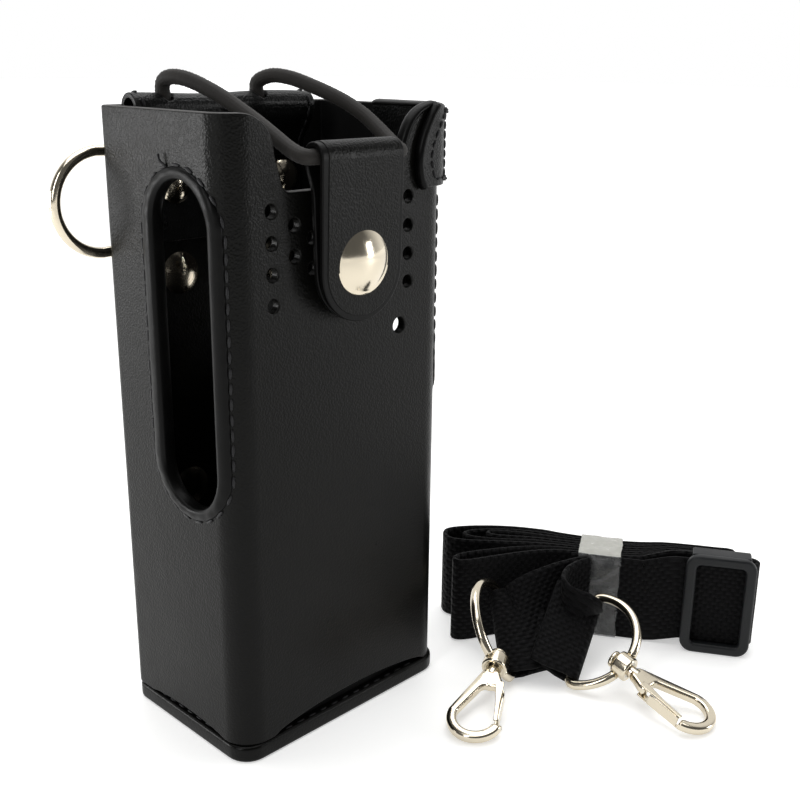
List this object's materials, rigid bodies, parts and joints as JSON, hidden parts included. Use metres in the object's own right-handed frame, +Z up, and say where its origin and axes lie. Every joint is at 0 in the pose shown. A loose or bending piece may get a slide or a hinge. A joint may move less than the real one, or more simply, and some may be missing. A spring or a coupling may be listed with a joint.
{
  "type": "leather two-way radio carrying case",
  "caption": "Hard black leather carrying case for a handheld radio, with elastic and press-stud closure, side windows, back belt loop, D rings and a taped webbing strap with swivel hooks.",
  "frame": {"origin": "centre of the underside of the case's base plate, which stands on the table", "axes": "+Z up; the front of the case, with its press stud, faces -Y; the talk-button window is on -X; the strap lies beyond +X"},
  "size_m": [0.1545, 0.1251, 0.158],
  "materials": {
    "grained_leather": "pebbled, semi-gloss",
    "smooth_binding": "smooth, satin",
    "insert_board": "matte",
    "elastic": "braided, matte",
    "webbing": "coarse weave, matte",
    "clear_tape": "clear film, creased",
    "slider_plastic": "moulded, satin",
    "nickel": "polished warm nickel",
    "spring_steel": "drawn wire"
  },
  "bodies": {
    "case": {"case_wrap": "grained_leather", "back_panel": "grained_leather", "base_plate": "grained_leather", "bottom_welt": "grained_leather", "base_insert": "insert_board", "ptt_window_binding": "smooth_binding", "side_window_binding": "smooth_binding", "corner_tab": "grained_leather", "anchor_panel": "grained_leather", "panel_rivets": "nickel", "cord_in_roll": "elastic", "belt_loop": "grained_leather", "belt_loop_rivets": "nickel", "d_ring_tab_left": "grained_leather", "d_ring_tab_right": "grained_leather", "snap_stud": "nickel"},
    "cord_loop": {"elastic_cord": "elastic"},
    "tongue": {"tongue_leather": "grained_leather", "snap_cap": "nickel", "snap_socket": "nickel", "snap_spring": "spring_steel"},
    "left_ring": {"d_ring_left": "nickel"},
    "right_ring": {"d_ring_right": "nickel"},
    "strap": {"strap_bundle": "webbing", "strap_run": "webbing", "strap_end_a": "webbing", "strap_end_b": "webbing", "bundle_tape": "clear_tape"},
    "slider": {"strap_slider": "slider_plastic"},
    "hook_a_swing": {"hook_a_ring": "nickel", "hook_a_collar": "nickel"},
    "hook_a": {"hook_a_body": "nickel", "hook_a_gate_pin": "nickel"},
    "hook_a_latch": {"hook_a_gate": "nickel"},
    "hook_b_swing": {"hook_b_ring": "nickel", "hook_b_collar": "nickel"},
    "hook_b": {"hook_b_body": "nickel", "hook_b_gate_pin": "nickel"},
    "hook_b_latch": {"hook_b_gate": "nickel"}
  },
  "joints": [
    {"name": "cord_lift", "type": "hinge", "parent": "case", "child": "cord_loop", "pos_m": [0, 0.0158, 0.1546], "axis": [-1, 0, 0], "range_deg": [0, 100]},
    {"name": "tongue_swing", "type": "hinge", "parent": "cord_loop", "child": "tongue", "pos_m": [0, -0.0265, 0.1408], "axis": [-1, 0, 0], "range_deg": [0, 150]},
    {"name": "left_ring_swing", "type": "hinge", "parent": "case", "child": "left_ring", "pos_m": [-0.0247, 0.0259, 0.128], "axis": [0, 0, -1], "range_deg": [0, 150]},
    {"name": "right_ring_swing", "type": "hinge", "parent": "case", "child": "right_ring", "pos_m": [0.0247, 0.0259, 0.128], "axis": [0, 0, 1], "range_deg": [0, 150]},
    {"name": "strap_lift", "type": "slide", "parent": "case", "child": "strap", "axis": [0, 0, 1], "range_m": [0, 0.12]},
    {"name": "slider_move", "type": "slide", "parent": "strap", "child": "slider", "axis": [0.5165, -0.8563, 0], "range_m": [-0.01, 0]},
    {"name": "hook_a_ring_swing", "type": "hinge", "parent": "strap", "child": "hook_a_swing", "pos_m": [0.0475, -0.035, 0.009], "axis": [0.5284, 0.6481, 0.5484], "range_deg": [0, 20]},
    {"name": "hook_a_swivel", "type": "hinge", "parent": "hook_a_swing", "child": "hook_a", "pos_m": [0.03489, -0.04252, 0.00782], "axis": [-0.8798, -0.4102, -0.2402], "continuous": true},
    {"name": "hook_a_gate_swing", "type": "hinge", "parent": "hook_a", "child": "hook_a_latch", "pos_m": [0.02911, -0.04897, 0.00585], "axis": [0.2177, 0.1015, -0.9707], "range_deg": [0, 22], "stiffness_Nm_per_rad": 0.002},
    {"name": "hook_b_ring_swing", "type": "hinge", "parent": "strap", "child": "hook_b_swing", "pos_m": [0.06, -0.052, 0.009], "axis": [0.7982, 0.2694, 0.5388], "range_deg": [0, 20]},
    {"name": "hook_b_swivel", "type": "hinge", "parent": "hook_b_swing", "child": "hook_b", "pos_m": [0.05792, -0.06726, 0.00809], "axis": [0.022, -0.9683, -0.2487], "continuous": true},
    {"name": "hook_b_gate_swing", "type": "hinge", "parent": "hook_b", "child": "hook_b_latch", "pos_m": [0.0547, -0.07527, 0.00605], "axis": [0.0056, -0.2486, 0.9686], "range_deg": [0, 22], "stiffness_Nm_per_rad": 0.002}
  ]
}
